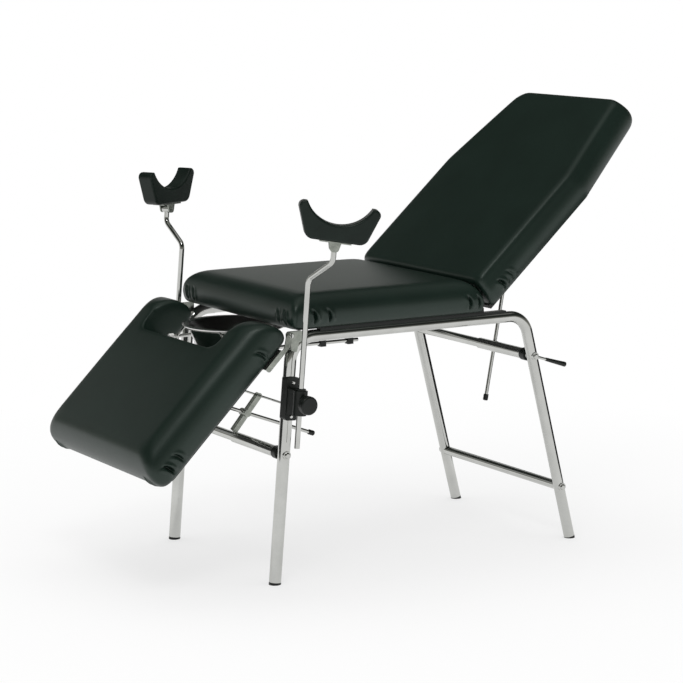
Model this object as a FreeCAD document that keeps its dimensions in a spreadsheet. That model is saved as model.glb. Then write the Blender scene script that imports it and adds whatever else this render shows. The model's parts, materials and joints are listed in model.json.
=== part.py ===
import FreeCAD, Part
import math
import os
import Sketcher
from FreeCAD import Placement, Rotation, Vector

# Gynaecological examination couch: tubular frame, fixed seat, hinged back and leg sections on
# stay rods, two knee crutches on posts and a sliding bowl. Millimetres, Z up, floor at zero,
# leg end toward -X, near side toward -Y. X starts at the foot of the front legs and is shifted
# at the end of each formula so that the origin is the middle of the couch.

os.makedirs("parts", exist_ok=True)
doc = FreeCAD.newDocument("examination_couch")
sheet = doc.addObject("Spreadsheet::Sheet", "Sizes")
worked = doc.addObject("Spreadsheet::Sheet", "Worked")
rows = {"Sizes": 0, "Worked": 0}
nodes = {}


class Size:
    """A number together with the sheet formula that gives it."""

    def __init__(self, value, text):
        self.value = float(value)
        self.text = text

    def __add__(self, other):
        other = plain(other)
        return Size(self.value + other.value, "(" + self.text + " + " + other.text + ")")

    def __sub__(self, other):
        other = plain(other)
        return Size(self.value - other.value, "(" + self.text + " - " + other.text + ")")

    def __mul__(self, other):
        other = plain(other)
        return Size(self.value * other.value, "(" + self.text + " * " + other.text + ")")

    def __truediv__(self, other):
        other = plain(other)
        return Size(self.value / other.value, "(" + self.text + " / " + other.text + ")")

    def __rsub__(self, other):
        return plain(other) - self

    def __neg__(self):
        return self * -1

    __radd__ = __add__
    __rmul__ = __mul__


def plain(number):
    if isinstance(number, Size):
        return number
    return Size(number, "(" + repr(float(number)) + ")")


def sine(angle):
    return Size(math.sin(math.radians(angle.value)), "sin(" + angle.text + ")")


def cosine(angle):
    return Size(math.cos(math.radians(angle.value)), "cos(" + angle.text + ")")


def tangent(angle):
    return Size(math.tan(math.radians(angle.value)), "tan(" + angle.text + ")")


def root(number):
    return Size(math.sqrt(number.value), "sqrt(" + number.text + ")")


def slope_angle(rise, run):
    return Size(
        math.degrees(math.atan2(rise.value, run.value)),
        "(atan2(" + rise.text + "; " + run.text + ") / 1 deg)",
    )


def sine_angle(ratio):
    return Size(math.degrees(math.asin(ratio.value)), "(asin(" + ratio.text + ") / 1 deg)")


def size(name, value):
    """A driving size, kept in the first sheet."""
    rows["Sizes"] += 1
    row = str(rows["Sizes"])
    sheet.set("A" + row, name)
    sheet.set("B" + row, str(value))
    sheet.setAlias("B" + row, name)
    return Size(value, "Sizes." + name)


def result(name, number):
    """A worked-out size, kept as a formula in the second sheet."""
    rows["Worked"] += 1
    row = str(rows["Worked"])
    worked.set("A" + row, name)
    worked.set("B" + row, "=" + number.text)
    worked.setAlias("B" + row, name)
    return Size(number.value, "Worked." + name)


AXES = {"x": (1, 0, 0), "y": (0, 1, 0), "z": (0, 0, 1)}


def place(obj, base, turns=()):
    """Put an object at a point, turned about the named axes; the last turn is done first."""
    spot = [plain(number) for number in base]
    rotation = Rotation()
    texts = []
    for axis, angle in turns:
        angle = plain(angle)
        rotation = rotation.multiply(Rotation(Vector(*AXES[axis]), angle.value))
        vector = "create(<<vector>>; %d; %d; %d)" % AXES[axis]
        texts.append("create(<<rotation>>; " + vector + "; " + angle.text + ")")
    obj.Placement = Placement(Vector(*[number.value for number in spot]), rotation)
    base_text = "create(<<vector>>; " + "; ".join(number.text for number in spot) + ")"
    turn_text = " * ".join(texts) or "create(<<rotation>>; create(<<vector>>; 0; 0; 1); 0)"
    obj.setExpression("Placement", "create(<<placement>>; " + base_text + "; " + turn_text + ")")
    return obj


def bind(obj, prop, number):
    number = plain(number)
    setattr(obj, prop, number.value)
    obj.setExpression(prop, number.text)


# Sketch helpers

def new_body(name):
    return doc.addObject("PartDesign::Body", name)


def new_sketch(body, name, role, lift=0):
    sketch = body.newObject("Sketcher::SketchObject", name)
    plane = [item for item in body.Origin.OriginFeatures if item.Role == role][0]
    sketch.AttachmentSupport = (plane, "")
    sketch.MapMode = "FlatFace"
    sketch.setExpression(".AttachmentOffset.Base.z", plain(lift).text)
    return sketch


def pin_point(sketch, shape, end, corner):
    for kind, number in (("DistanceX", corner[0]), ("DistanceY", corner[1])):
        rule = sketch.addConstraint(Sketcher.Constraint(kind, -1, 1, shape, end, number.value))
        sketch.setExpression("Constraints[%d]" % rule, number.text)


def corner_setback(before, corner, after, radius):
    """Numeric tangent points and centre of a rounded corner, and whether it turns left."""
    back = (before - corner).normalize()
    ahead = (after - corner).normalize()
    half = back.getAngle(ahead) / 2
    reach = radius / math.tan(half)
    centre = corner + (back + ahead).normalize() * (radius / math.sin(half))
    left = (corner - before).cross(after - corner).z > 0
    return corner + back * reach, corner + ahead * reach, centre, left


def draw_outline(sketch, corners, radii, closed=True):
    """Straight edges through the corners; a corner with a radius gets a tangent arc."""
    corners = [(plain(a), plain(b)) for a, b in corners]
    points = [Vector(a.value, b.value, 0) for a, b in corners]
    count = len(points)
    rounded = {}
    for number, radius in enumerate(radii):
        if plain(radius).value > 0:
            rounded[number] = corner_setback(
                points[number - 1], points[number], points[(number + 1) % count],
                plain(radius).value,
            )
    lines = []
    for number in range(count if closed else count - 1):
        following = (number + 1) % count
        start = rounded[number][1] if number in rounded else points[number]
        finish = rounded[following][0] if following in rounded else points[following]
        lines.append(sketch.addGeometry(Part.LineSegment(start, finish), False))
    for number in range(count):
        if number not in rounded:
            if not closed and number == count - 1:
                pin_point(sketch, lines[-1], 2, corners[number])
                continue
            if closed or number > 0:
                sketch.addConstraint(
                    Sketcher.Constraint("Coincident", lines[number - 1], 2, lines[number], 1)
                )
            pin_point(sketch, lines[number], 1, corners[number])
            continue
        first, last, centre, left = rounded[number]
        enter, leave = (first, last) if left else (last, first)
        circle = Part.Circle(centre, Vector(0, 0, 1), plain(radii[number]).value)
        arc = sketch.addGeometry(
            Part.ArcOfCircle(circle, circle.parameter(enter), circle.parameter(leave)), False
        )
        mark = sketch.addGeometry(Part.Point(points[number]), True)
        pin_point(sketch, mark, 1, corners[number])
        sketch.addConstraint(Sketcher.Constraint("PointOnObject", mark, 1, lines[number - 1]))
        sketch.addConstraint(Sketcher.Constraint("PointOnObject", mark, 1, lines[number]))
        near_end, far_end = (1, 2) if left else (2, 1)
        sketch.addConstraint(Sketcher.Constraint("Tangent", lines[number - 1], 2, arc, near_end))
        sketch.addConstraint(Sketcher.Constraint("Tangent", arc, far_end, lines[number], 1))
        rule = sketch.addConstraint(
            Sketcher.Constraint("Radius", arc, plain(radii[number]).value)
        )
        sketch.setExpression("Constraints[%d]" % rule, plain(radii[number]).text)
    return len(lines) + len(rounded)


def draw_circle(sketch, centre, radius):
    centre = (plain(centre[0]), plain(centre[1]))
    radius = plain(radius)
    shape = sketch.addGeometry(
        Part.Circle(Vector(centre[0].value, centre[1].value, 0), Vector(0, 0, 1), radius.value),
        False,
    )
    pin_point(sketch, shape, 3, centre)
    rule = sketch.addConstraint(Sketcher.Constraint("Radius", shape, radius.value))
    sketch.setExpression("Constraints[%d]" % rule, radius.text)


# Feature helpers

def pad(body, sketch, length, midplane=True):
    feature = body.newObject("PartDesign::Pad", sketch.Name + "_pad")
    feature.Profile = sketch
    bind(feature, "Length", length)
    feature.Midplane = midplane
    return feature


def pocket(body, sketch, length, midplane=False, reverse=False):
    feature = body.newObject("PartDesign::Pocket", sketch.Name + "_pocket")
    feature.Profile = sketch
    bind(feature, "Length", length)
    feature.Midplane = midplane
    feature.Reversed = reverse
    return feature


def round_edges(body, name, radius, wanted):
    base = body.Tip
    doc.recompute([base])
    names = [
        "Edge%d" % (number + 1)
        for number, edge in enumerate(base.Shape.Edges) if wanted(edge)
    ]
    feature = body.newObject("PartDesign::Fillet", name)
    feature.Base = (base, names)
    bind(feature, "Radius", radius)
    return feature


def plate(name, corners, radii, thickness, base, turns=(), role="XZ_Plane", midplane=True,
          holes=()):
    """Flat piece cut from an outline, with round holes given as (across, up, radius)."""
    body = new_body(name)
    sketch = new_sketch(body, name + "_outline", role)
    draw_outline(sketch, corners, radii)
    for across, up, radius in holes:
        draw_circle(sketch, (across, up), radius)
    pad(body, sketch, thickness, midplane)
    place(body, base, turns)
    return body


def lathe(name, corners, radii, base, turns=()):
    """Round piece turned from a half outline of (radius, height) corners about its own Z."""
    body = new_body(name)
    sketch = new_sketch(body, name + "_half", "XZ_Plane")
    draw_outline(sketch, corners, radii)
    feature = body.newObject("PartDesign::Revolution", name + "_turned")
    feature.Profile = sketch
    feature.ReferenceAxis = (sketch, ["V_Axis"])
    feature.Angle = 360
    place(body, base, turns)
    return body


def ring(name, inner, outer, start, finish, base, turns=(), edge=0):
    corners = [(inner, start), (outer, start), (outer, finish), (inner, finish)]
    return lathe(name, corners, [0, edge, edge, 0], base, turns)


def pipe(name, corners, radii, outer, inner, base, turns=()):
    """Bent tube; the path starts at the body's origin and leaves along its Z."""
    body = new_body(name)
    path = new_sketch(body, name + "_path", "XZ_Plane")
    edges = draw_outline(path, corners, radii, closed=False)
    section = new_sketch(body, name + "_section", "XY_Plane")
    draw_circle(section, (0, 0), outer)
    if inner is not None:
        draw_circle(section, (0, 0), inner)
    feature = body.newObject("PartDesign::AdditivePipe", name + "_swept")
    feature.Profile = section
    feature.Spine = (path, ["Edge%d" % (number + 1) for number in range(edges)])
    place(body, base, turns)
    return body


def cylinder(name, radius, length, base, turns=()):
    obj = doc.addObject("Part::Cylinder", name)
    bind(obj, "Radius", radius)
    bind(obj, "Height", length)
    return place(obj, base, turns)


def block(name, lengths, base, turns=()):
    obj = doc.addObject("Part::Box", name)
    for prop, number in zip(("Length", "Width", "Height"), lengths):
        bind(obj, prop, number)
    return place(obj, base, turns)


def fuse(name, pieces, base=None, turns=()):
    obj = doc.addObject("Part::MultiFuse", name)
    obj.Shapes = pieces
    obj.Refine = True
    if base is not None:
        place(obj, base, turns)
    return obj


def cut(name, piece, tool, base=None, turns=()):
    obj = doc.addObject("Part::Cut", name)
    obj.Base = piece
    obj.Tool = tool
    if base is not None:
        place(obj, base, turns)
    return obj


def group(name, pieces, base=None, turns=()):
    obj = doc.addObject("Part::Compound", name)
    obj.Links = pieces
    if base is not None:
        place(obj, base, turns)
    return obj


def node(name, obj):
    """Hand in an object as one named piece of the couch."""
    obj.Label = name
    nodes[name] = obj
    return obj


ALONG_NEAR = (("x", 90),)
SIDES = (("near", -1), ("far", 1))

# Driving sizes of the frame
shift = size("origin_shift", 403)
half_width = size("frame_half_width", 280)
lean = size("front_leg_lean", 4.71)
rake = size("rear_leg_rake", 14.66)
rail_height = size("rail_centre_height", 638)
rear_corner = size("rear_corner_reach", 777.1)
seam = size("rail_seam_reach", 130)
front_tube = size("front_tube_radius", 16)
rail_tube = size("rail_tube_radius", 15)
tube_wall = size("tube_wall", 1.5)
front_bend = size("front_bend_radius", 67)
rear_bend = size("rear_bend_radius", 62)
foot_length = size("foot_plug_length", 6)
cross_tube = size("cross_tube_radius", 12.5)
cross_bore = size("cross_tube_bore", 10.5)
front_cross_height = size("front_cross_tube_height", 338)
upper_cross_height = size("rear_upper_tube_height", 525)
lower_cross_height = size("rear_lower_tube_height", 151)
strip_width = size("rail_strip_width", 18)
strip_front = size("rail_strip_front_reach", 132)
strip_rear = size("rail_strip_rear_reach", 712)
running = size("running_clearance", 0.06)
side_gap = size("side_gap", 0.6)

# Driving sizes of the upholstered sections
pad_half_width = size("pad_half_width", 300)
board_thickness = size("board_thickness", 12)
board_inset = size("board_inset", 12)
seat_front = size("seat_front_reach", 54)
seat_rear = size("seat_rear_reach", 641)
seat_lift = size("seat_lift_over_rail", 4)
seat_base = result("seat_base", rail_height + rail_tube + seat_lift)
seat_depth = size("seat_pad_depth", 86)
seat_slant = size("seat_rear_slant", 12)
back_angle = size("back_rest_angle", 42)
back_drop = size("back_underside_drop", 18)
back_depth = size("back_pad_depth", 92)
back_start = size("back_pad_start", 10)
back_slant = size("back_pad_slant", 54.5)
back_length = size("back_pad_length", 706)
taper_start = size("back_taper_start", 426)
head_half_width = size("head_half_width", 227)
head_round = size("head_corner_radius", 50)
leg_angle = size("leg_rest_angle", 45)
leg_hinge_reach = size("leg_hinge_reach", 39)
leg_hinge_drop = size("leg_hinge_drop", 10)
leg_hinge_height = result("leg_hinge_height", seat_base - leg_hinge_drop)
leg_drop = size("leg_underside_drop", 4)
leg_depth = size("leg_pad_depth", 106)
leg_start = size("leg_pad_start", 12)
leg_length = size("leg_pad_length", 498)
notch_half_width = size("notch_half_width", 205)
notch_end = size("notch_end", 145)
notch_round = size("notch_corner_radius", 40)
leg_corner = size("leg_corner_radius", 30)
leg_start_corner = size("leg_start_corner_radius", 34)
notch_lip = size("notch_lip_radius", 12)
board_corner_step = size("board_corner_step", 10)
edge_round = size("pad_edge_radius", 32)

# Driving sizes of the stays and levers
rod_radius = size("stay_rod_radius", 5)
rod_clearance = size("stay_rod_clearance", 0.5)
back_stay_pivot = size("back_stay_pivot", 224.6)
back_stay_drop = size("back_stay_drop", 86)
back_stay_offset = size("back_stay_offset", 21.7)
back_stay_length = size("back_stay_length", 392)
back_stay_side = size("back_stay_side", 72)
leg_stay_pivot = size("leg_stay_pivot", 238)
leg_stay_drop = size("leg_stay_drop", 16)
leg_stay_offset = size("leg_stay_offset", 70)
leg_stay_length = size("leg_stay_length", 400)
leg_stay_side = size("leg_stay_side", 33)
cap_radius = size("stay_cap_radius", 7)
cap_length = size("stay_cap_length", 18)
cap_grip = size("stay_cap_overlap", 10)
sleeve_radius = size("sleeve_radius", 15)
sleeve_near_end = size("sleeve_near_end", 240)
front_sleeve_far_end = size("front_sleeve_far_end", 22)
rear_sleeve_far_end = size("rear_sleeve_far_end", 34)
guide_radius = size("guide_radius", 10)
arm_lead = size("clamp_arm_lead", 70.241)
arm_offset = size("clamp_arm_offset", 20)
arm_width = size("clamp_arm_width", 14)
arm_reach = size("clamp_arm_reach", 124.2)
arm_thickness = size("clamp_arm_thickness", 3)
eye_radius = size("stay_eye_radius", 8)
eye_width = size("stay_eye_width", 12)
pin_radius = size("stay_pin_radius", 3)
ear_thickness = size("stay_ear_thickness", 3)
hub_radius = size("hub_radius", 17)
hub_near_end = size("hub_near_end", 263)
lever_radius = size("lever_radius", 4)
lever_drop_angle = size("lever_drop_angle", 17)
lever_reach = size("lever_reach", 70)
grip_end = size("lever_grip_end", 141)
grip_overlap = size("lever_grip_overlap", 40)
grip_small = size("lever_grip_small_radius", 4.8)
grip_large = size("lever_grip_large_radius", 7)

# Driving sizes of the stirrups
post_radius = size("post_radius", 7)
post_out = size("post_out", 63)
post_below = size("post_below_block", 56)
post_straight = size("post_straight_length", 430)
post_drop = size("near_post_drop", 9)
post_offset = size("post_arm_offset", 86)
post_rise = size("post_arm_rise", 54)
post_top = size("post_top_length", 36)
post_bend = size("post_bend_radius", 24)
near_swing = size("near_post_swing", 11)
far_swing = size("far_post_swing", 6)
block_gap = size("clamp_block_bend_gap", 36.5)
block_length = size("clamp_block_length", 111)
block_width = size("clamp_block_width", 34)
boss_inset = size("boss_inset", 20)
boss_length = size("boss_length", 63)
boss_radius = size("boss_radius", 18)
bush_radius = size("bush_radius", 10)
flange_radius = size("bush_flange_radius", 13)
flange_height = size("bush_flange_height", 5)
post_clearance = size("post_clearance", 0.1)
knob_radius = size("knob_radius", 24)
knob_depth = size("knob_depth", 25)
spindle_radius = size("spindle_radius", 4)
crutch_turn = size("crutch_turn", 26.4)
near_tilt = size("near_crutch_tilt", 8.5)
crutch_top = size("crutch_top_half_width", 108)
crutch_bottom = size("crutch_bottom_half_width", 75)
crutch_height = size("crutch_height", 92)
crutch_depth = size("crutch_depth", 46)
trough_depth = size("crutch_trough_depth", 50)
tip_width = size("crutch_tip_width", 26)
crutch_lift = size("crutch_lift", 16)

# Driving sizes of the bowl and its slide
bowl_reach = size("bowl_reach", 42)
bowl_rim_drop = size("bowl_rim_drop", 17)
bowl_depth = size("bowl_depth", 76)
bowl_rim = size("bowl_rim_radius", 141)
bowl_body = size("bowl_body_radius", 124)
bowl_base = size("bowl_base_radius", 98)
bowl_wall = size("bowl_wall", 1.5)
rim_thickness = size("bowl_rim_thickness", 3)
ring_wire = size("ring_wire_radius", 3)
ring_gap = size("ring_gap_round_bowl", 3)
ring_radius = result("ring_radius", bowl_body + ring_wire + ring_gap)
slide_rod = size("slide_rod_radius", 5)
slide_out = size("slide_rod_out", 150)
slide_drop = size("slide_rod_drop", 65)
slide_front = size("slide_rod_front_reach", -70)
slide_rear = size("slide_rod_rear_reach", 330)
slide_cap = size("slide_cap_radius", 8)
slide_cap_length = size("slide_cap_length", 14)
guide_first = size("guide_first_reach", 212)
guide_second = size("guide_second_reach", 296)
guide_length = size("guide_length", 16)
guide_below = size("guide_below_rod", 9)
guide_strip = size("guide_strip_thickness", 4)
bowl_rim_height = result("bowl_rim_height", seat_base - bowl_rim_drop)
slide_height = result("slide_height", seat_base - slide_drop)


def leg_reach(height):
    return height * tangent(lean) - shift


def rear_reach(height):
    return rear_corner + (rail_height - height) * tangent(rake) - shift


# Legs, rails and feet
front_corner = result("front_corner", rail_height * tangent(lean))
front_straight = result("front_straight", rail_height / cosine(lean) - foot_length)
front_run = result("front_run", seam - front_corner)
rail_run = result("rail_run", rear_corner - seam)
rear_run = result("rear_run", rail_height / cosine(rake) - foot_length)
front_x = result("front_x", leg_reach(front_cross_height))
upper_x = result("upper_x", rear_reach(upper_cross_height))
lower_x = result("lower_x", rear_reach(lower_cross_height))
rear_foot_x = result("rear_foot_x", rear_reach(plain(0)))

front_path = [
    (0, 0), (0, front_straight),
    (front_run * cosine(lean), front_straight + front_run * sine(lean)),
]
rail_path = [
    (0, 0), (0, rail_run), (rear_run * cosine(rake), rail_run + rear_run * sine(rake)),
]
cross_spots = [
    ("front", front_x, front_cross_height),
    ("rear_upper", upper_x, upper_cross_height),
    ("rear_lower", lower_x, lower_cross_height),
]
screw_radius = size("cross_screw_radius", 4)
screw_head = size("cross_screw_head_radius", 8)
screw_head_height = size("cross_screw_head_height", 4.5)
washer_radius = size("saddle_washer_radius", 11)
washer_out = size("saddle_washer_out", 18.5)

leg_cores = {}
rail_cores = {}
for side, sign in SIDES:
    y = half_width * sign
    front_base = (foot_length * sine(lean) - shift, y, foot_length * cosine(lean))
    rail_base = (seam - shift, y, rail_height)
    leg_cores[side] = pipe(
        "front_core_" + side, front_path, [0, front_bend, 0], front_tube, None, front_base,
        (("y", lean),),
    )
    rail_cores[side] = pipe(
        "rail_core_" + side, rail_path, [0, rear_bend, 0], rail_tube, None, rail_base,
        (("y", 90),),
    )
    front_leg = pipe(
        "front_leg_tube_" + side, front_path, [0, front_bend, 0], front_tube,
        front_tube - tube_wall, front_base, (("y", lean),),
    )
    side_rail = pipe(
        "side_rail_tube_" + side, rail_path, [0, rear_bend, 0], rail_tube,
        rail_tube - tube_wall, rail_base, (("y", 90),),
    )
    drill_start = (half_width + front_tube + 2) * sign
    drills = [
        cylinder(
            "screw_hole_" + spot + "_" + side, screw_radius, (front_tube + 2) * 2,
            (x, drill_start, height), (("x", 90 * sign),),
        )
        for spot, x, height in cross_spots
    ]
    node("front_leg_" + side, cut("front_leg_drilled_" + side, front_leg, drills[0]))
    node(
        "side_rail_" + side,
        cut("side_rail_drilled_" + side, side_rail, fuse("rear_holes_" + side, drills[1:])),
    )

# Cross tubes, coped to sit against the legs
leg_tools = {
    "front": [leg_cores["near"], leg_cores["far"]],
    "rear_upper": [rail_cores["near"], rail_cores["far"]],
    "rear_lower": [rail_cores["near"], rail_cores["far"]],
}
for spot, x, height in cross_spots:
    tube = ring(
        spot + "_tube_blank", cross_bore, cross_tube, -half_width, half_width, (x, 0, height),
        ALONG_NEAR,
    )
    legs = fuse(spot + "_coping", leg_tools[spot])
    node(spot + "_cross_tube", cut(spot + "_tube_coped", tube, legs))

# Domed screws on saddle washers outside each leg
screws = []
washers = []
for side, sign in SIDES:
    for spot, x, height in cross_spots:
        turn = (("x", -90 * sign),)
        reach = front_tube if spot == "front" else rail_tube
        washer_face = result(
            "washer_face_" + spot + "_" + side, half_width + reach + (washer_out - front_tube)
        )
        shank_start = result("shank_start_" + spot + "_" + side, half_width - reach - 6)
        screws.append(lathe(
            "screw_" + spot + "_" + side,
            [(0, shank_start), (screw_radius, shank_start), (screw_radius, washer_face),
             (screw_head, washer_face), (screw_head * 0.8, washer_face + screw_head_height),
             (0, washer_face + screw_head_height)],
            [0, 0, 0, 0, 3, 0], (x, 0, height), turn,
        ))
        washer = ring(
            "washer_" + spot + "_" + side, screw_radius, washer_radius,
            half_width + reach * 0.6, washer_face, (x, 0, height), turn, 0.8,
        )
        core = leg_cores[side] if spot == "front" else rail_cores[side]
        washers.append(cut("washer_seated_" + spot + "_" + side, washer, core))
node("cross_tube_screws", group("cross_screw_set", screws))
node("saddle_washers", group("washer_set", washers))

# Foot plugs, cut level with the floor
for end, reach, angle, foot_x in (
    ("front", front_tube, lean, -shift), ("rear", rail_tube, -rake, rear_foot_x),
):
    feet = []
    for side, sign in SIDES:
        plug = ring(
            "plug_" + end + "_" + side, reach - 6, reach, -12, foot_length,
            (foot_x, half_width * sign, 0), (("y", angle),), 1.5,
        )
        closed_end = cylinder(
            "plug_end_" + end + "_" + side, reach - 1.5, foot_length + 10,
            (foot_x - sine(angle) * 12, half_width * sign, cosine(angle) * -12),
            (("y", angle),),
        )
        floor = block(
            "floor_" + end + "_" + side, (90, 90, 45),
            (foot_x - 45, half_width * sign - 45, -45),
        )
        whole = fuse("plug_whole_" + end + "_" + side, [plug, closed_end])
        feet.append(cut("plug_level_" + end + "_" + side, whole, floor))
    node("feet_" + end, group("feet_set_" + end, feet))

# Strips on the rails that carry the seat
strips = []
for side, sign in SIDES:
    strip = plate(
        "strip_blank_" + side,
        [(strip_front, rail_height + rail_tube * 0.7), (strip_rear + 5, rail_height + rail_tube * 0.7),
         (strip_rear, seat_base), (strip_front, seat_base)],
        [0, 0, 0, 0], strip_width, (-shift, half_width * sign, 0),
    )
    strips.append(cut("strip_seated_" + side, strip, rail_cores[side]))
node("rail_strips", group("strip_set", strips))

# Seat board and pad
seat_top = result("seat_top", seat_base + seat_depth)
seat_body = new_body("seat_pad_body")
seat_side = new_sketch(seat_body, "seat_side", "XZ_Plane")
draw_outline(
    seat_side,
    [(seat_front, seat_base), (seat_rear, seat_base), (seat_rear - seat_slant, seat_top),
     (seat_front, seat_top)],
    [0, 0, 0, 0],
)
pad(seat_body, seat_side, pad_half_width * 2)
board_half = result("board_half", pad_half_width - board_inset)
seat_recess = new_sketch(seat_body, "seat_recess", "XY_Plane", seat_base)
draw_outline(
    seat_recess,
    [(seat_front + board_inset, -board_half), (seat_rear + 2, -board_half),
     (seat_rear + 2, board_half), (seat_front + board_inset, board_half)],
    [0, 0, 0, 0],
)
pocket(seat_body, seat_recess, board_thickness, reverse=True)
high = seat_top.value - 0.01
round_edges(
    seat_body, "seat_rounding", edge_round,
    lambda edge: min(vertex.Point.z for vertex in edge.Vertexes) > high,
)
place(seat_body, (-shift, 0, 0))
node("seat_pad", seat_body)
node("seat_board", block(
    "seat_board_block",
    (seat_rear - seat_front - board_inset, board_half * 2, board_thickness),
    (seat_front + board_inset - shift, -board_half, seat_base),
))

# Back section, modelled flat from its hinge and then turned up
back_hinge_x = result("back_hinge_x", seat_rear + 7 - shift)
back_hinge_z = result("back_hinge_z", seat_base + back_drop)
back_spot = (back_hinge_x, 0, back_hinge_z)
back_turn = (("y", -back_angle),)
back_top = result("back_top", back_depth - back_drop)
back_body = new_body("back_pad_body")
back_side = new_sketch(back_body, "back_side", "XZ_Plane")
draw_outline(
    back_side,
    [(back_start, -back_drop), (back_length, -back_drop), (back_length, back_top),
     (back_start + back_slant, back_top)],
    [0, 0, 0, 0],
)
pad(back_body, back_side, pad_half_width * 2 - 2)
for side, sign in SIDES:
    taper = new_sketch(back_body, "back_taper_" + side, "XY_Plane")
    draw_outline(
        taper,
        [(taper_start, pad_half_width * sign), (back_length, head_half_width * sign),
         (back_length + 20, head_half_width * sign), (back_length + 20, (pad_half_width + 20) * sign),
         (taper_start, (pad_half_width + 20) * sign)],
        [0, 0, 0, 0, 0],
    )
    pocket(back_body, taper, back_depth * 4, midplane=True)
far_s = back_length.value - 0.01
round_edges(
    back_body, "head_rounding", head_round,
    lambda edge: min(vertex.Point.x for vertex in edge.Vertexes) > far_s
    and abs(edge.Vertexes[0].Point.z - edge.Vertexes[-1].Point.z) > 50,
)
high = back_top.value - 0.01
round_edges(
    back_body, "back_rounding", edge_round,
    lambda edge: min(vertex.Point.z for vertex in edge.Vertexes) > high,
)
back_board_start = size("back_board_start", 6)
head_inset = size("head_board_inset", 30)
back_outline = [
    (back_board_start, -board_half), (taper_start, -board_half),
    (back_length - head_inset, board_inset - head_half_width),
    (back_length - head_inset, head_half_width - board_inset), (taper_start, board_half),
    (back_board_start, board_half),
]
back_recess = new_sketch(back_body, "back_recess", "XY_Plane", -back_drop)
draw_outline(back_recess, back_outline, [0, 0, 20, 20, 0, 0])
pocket(back_body, back_recess, board_thickness, reverse=True)
place(back_body, back_spot, back_turn)
node("back_pad", back_body)
back_board = new_body("back_board_body")
back_board_plan = new_sketch(back_board, "back_board_plan", "XY_Plane", -back_drop)
draw_outline(back_board_plan, back_outline, [0, 0, 20, 20, 0, 0])
pad(back_board, back_board_plan, board_thickness, midplane=False)
place(back_board, back_spot, back_turn)
node("back_board", back_board)

# Butt hinges between seat and back
knuckle_radius = size("butt_knuckle_radius", 5.5)
butt_pin = size("butt_pin_radius", 3)
butt_side = size("butt_hinge_side", 200)
butt_half = size("butt_half_length", 35)
butt_middle = size("butt_middle_half_length", 15)
leaf_thickness = size("butt_leaf_thickness", 2)
fixed_pieces = []
moving_pieces = []
butt_pins = []
for side, sign in SIDES:
    y = butt_side * sign
    for number, (low, high_end) in enumerate((
        (y - butt_half, y - butt_middle), (y + butt_middle, y + butt_half),
    )):
        tag = side + "_" + str(number)
        knuckle = cylinder(
            "fixed_knuckle_" + tag, knuckle_radius, high_end - low, (0, low, 0), (("x", -90),)
        )
        leaf = block(
            "fixed_leaf_" + tag, (leaf_thickness, high_end - low, back_drop),
            (-7, low, -back_drop),
        )
        hole = cylinder(
            "fixed_bore_" + tag, butt_pin, high_end - low, (0, low, 0), (("x", -90),)
        )
        whole = fuse("fixed_whole_" + tag, [knuckle, leaf])
        fixed_pieces.append(cut("fixed_piece_" + tag, whole, hole))
    middle = result("butt_middle_width_" + side, (butt_middle - side_gap) * 2)
    start = y - butt_middle + side_gap
    knuckle = cylinder("moving_knuckle_" + side, knuckle_radius, middle, (0, start, 0), (("x", -90),))
    leaf = block(
        "moving_leaf_" + side, (leaf_thickness, middle, back_drop),
        (back_board_start - leaf_thickness, start, -back_drop),
    )
    hole = cylinder(
        "moving_bore_" + side, butt_pin + running, middle, (0, start, 0), (("x", -90),)
    )
    whole = fuse("moving_whole_" + side, [knuckle, leaf])
    moving_pieces.append(cut("moving_piece_" + side, whole, hole))
    butt_pins.append(cylinder(
        "butt_pin_" + side, butt_pin, butt_half * 2, (0, y - butt_half, 0), (("x", -90),)
    ))
node("back_hinge_fixed_leaves", group("fixed_leaf_set", fixed_pieces, back_spot))
node("back_hinge_moving_leaves", group("moving_leaf_set", moving_pieces, back_spot, back_turn))
node("back_hinge_pins", group("butt_pin_set", butt_pins, back_spot))

# Leg section, modelled flat from its hinge toward -X and then turned down
leg_spot = (leg_hinge_reach - shift, 0, leg_hinge_height)
leg_turn = (("y", -leg_angle),)
leg_top = result("leg_top", leg_depth - leg_drop)


def leg_outline(inset):
    return [
        (-leg_start - inset, pad_half_width - inset),
        (-leg_length + inset, pad_half_width - inset),
        (-leg_length + inset, inset - pad_half_width),
        (-leg_start - inset, inset - pad_half_width),
        (-leg_start - inset, -notch_half_width - inset),
        (-notch_end - inset, -notch_half_width - inset),
        (-notch_end - inset, notch_half_width + inset),
        (-leg_start - inset, notch_half_width + inset),
    ]


leg_radii = [
    leg_start_corner, leg_corner, leg_corner, leg_start_corner, notch_lip, notch_round,
    notch_round, notch_lip,
]
board_lip = size("board_lip_radius", 4)
board_start_corner = result("board_start_corner", leg_start_corner - board_corner_step)
board_foot_corner = result("board_foot_corner", leg_corner - board_corner_step)
board_radii = [
    board_start_corner, board_foot_corner, board_foot_corner, board_start_corner, board_lip,
    notch_round, notch_round, board_lip,
]
leg_body = new_body("leg_pad_body")
leg_plan = new_sketch(leg_body, "leg_plan", "XY_Plane", -leg_drop)
draw_outline(leg_plan, leg_outline(plain(0)), leg_radii)
pad(leg_body, leg_plan, leg_depth, midplane=False)
leg_recess = new_sketch(leg_body, "leg_recess", "XY_Plane", -leg_drop)
draw_outline(leg_recess, leg_outline(board_inset), board_radii)
pocket(leg_body, leg_recess, board_thickness, reverse=True)
high = leg_top.value - 0.01
leg_edge = size("leg_pad_edge_radius", 22)
round_edges(
    leg_body, "leg_rounding", leg_edge,
    lambda edge: min(vertex.Point.z for vertex in edge.Vertexes) > high,
)
place(leg_body, leg_spot, leg_turn)
node("leg_pad", leg_body)
leg_board = new_body("leg_board_body")
leg_board_plan = new_sketch(leg_board, "leg_board_plan", "XY_Plane", -leg_drop)
draw_outline(leg_board_plan, leg_outline(board_inset), board_radii)
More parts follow.
